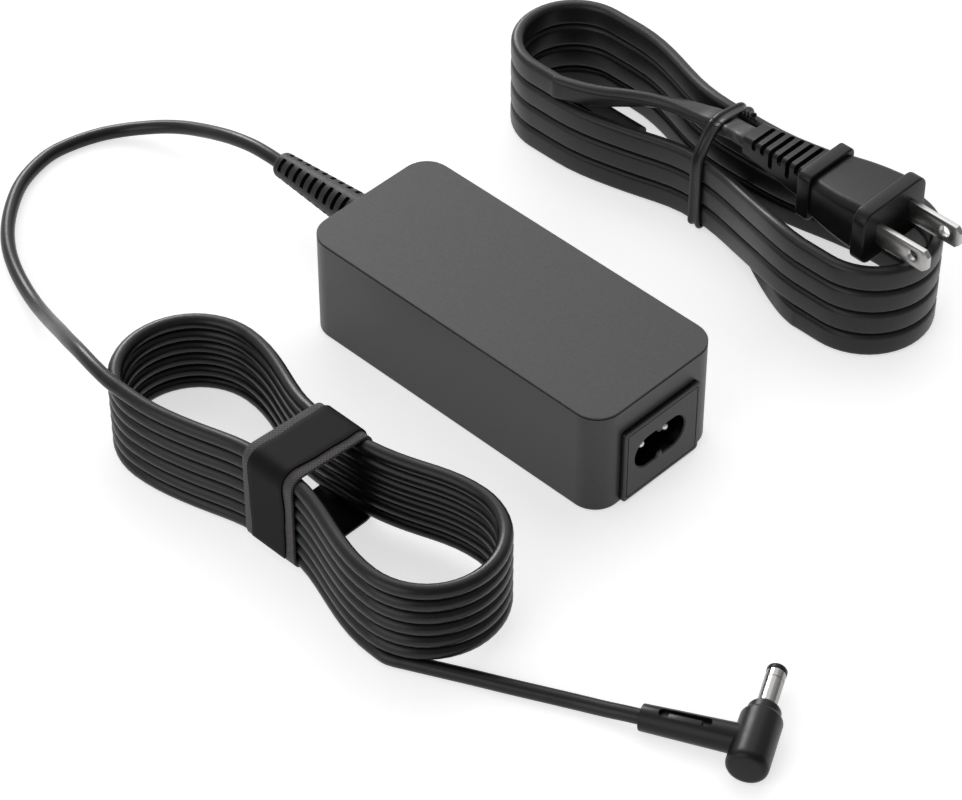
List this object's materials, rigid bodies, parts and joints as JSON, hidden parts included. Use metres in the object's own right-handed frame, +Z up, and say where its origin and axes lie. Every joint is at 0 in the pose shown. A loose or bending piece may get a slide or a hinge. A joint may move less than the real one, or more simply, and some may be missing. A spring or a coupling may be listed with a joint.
{
  "type": "laptop power adapter",
  "caption": "Sealed laptop power adapter with a figure-of-eight mains inlet, a captive low-voltage lead with a right-angle barrel plug, and a separate flat mains lead, both leads in hanks.",
  "frame": {"origin": "middle of the underside of the adapter's case, on the surface it stands on", "axes": "+X along the case towards the mains inlet, +Z up, +Y towards the side where the mains lead lies"},
  "size_m": [0.2832, 0.1939, 0.0397],
  "materials": {
    "case_plastic": "satin moulded",
    "cover_plastic": "fine leather-like moulded grain",
    "inlet_plastic": "satin moulded",
    "nickel": "nickel-plated brass",
    "insulation": "polyester sheet",
    "board": "paper-phenolic board",
    "fuse_plastic": "moulded",
    "yellow_plastic": "moulded box",
    "ferrite": "sintered ferrite",
    "copper": "enamelled copper wire",
    "device_plastic": "epoxy moulded",
    "capacitor_sleeve": "shrink sleeve over an aluminium can",
    "yellow_tape": "polyester tape over copper windings",
    "aluminium": "mill finish plate",
    "cord_pvc": "satin soft PVC",
    "flat_cord_pvc": "satin soft PVC",
    "relief_pvc": "satin soft PVC",
    "plug_pvc": "satin moulded PVC",
    "strap_weave": "woven base of a hook-and-loop strap",
    "strap_loop": "smooth loop facing",
    "tie_plastic": "plastic-covered wire"
  },
  "bodies": {
    "adapter": {"case_shell": "case_plastic", "top_cover": "cover_plastic", "inlet_housing": "inlet_plastic", "inlet_pin_near": "nickel", "inlet_pin_far": "nickel", "insulating_sheet": "insulation", "circuit_board": "board", "fuse": "fuse_plastic", "x_capacitor": "yellow_plastic", "choke_core": "ferrite", "choke_windings": "copper", "bridge_rectifier": "device_plastic", "bulk_capacitor": "capacitor_sleeve", "transformer_core": "ferrite", "transformer_windings": "yellow_tape", "primary_heat_sink": "aluminium", "switching_transistor": "device_plastic", "secondary_heat_sink": "aluminium", "output_rectifier": "device_plastic", "output_capacitors": "capacitor_sleeve", "output_wires": "cord_pvc", "output_strain_relief": "relief_pvc", "output_lead": "cord_pvc", "output_hank": "cord_pvc", "output_tail": "cord_pvc", "barrel_plug_body": "plug_pvc", "barrel_plug_slot_bar": "plug_pvc", "barrel_sleeve": "nickel", "barrel_insulator": "inlet_plastic", "barrel_contact": "nickel", "strap_base": "strap_weave", "strap_facing": "strap_loop"},
    "mains_lead": {"mains_hank": "flat_cord_pvc", "mains_plug_lead": "flat_cord_pvc", "mains_connector_lead": "flat_cord_pvc", "mains_plug_body": "plug_pvc", "mains_plug_sleeve": "plug_pvc", "plug_blade_near": "nickel", "plug_blade_far": "nickel", "connector_body": "plug_pvc", "connector_sleeve": "plug_pvc", "connector_contacts": "nickel", "twist_tie": "tie_plastic"}
  },
  "joints": [
    {"name": "mains_lead_lift", "type": "slide", "parent": "adapter", "child": "mains_lead", "axis": [0, 0, 1], "range_m": [0, 0.1]}
  ]
}
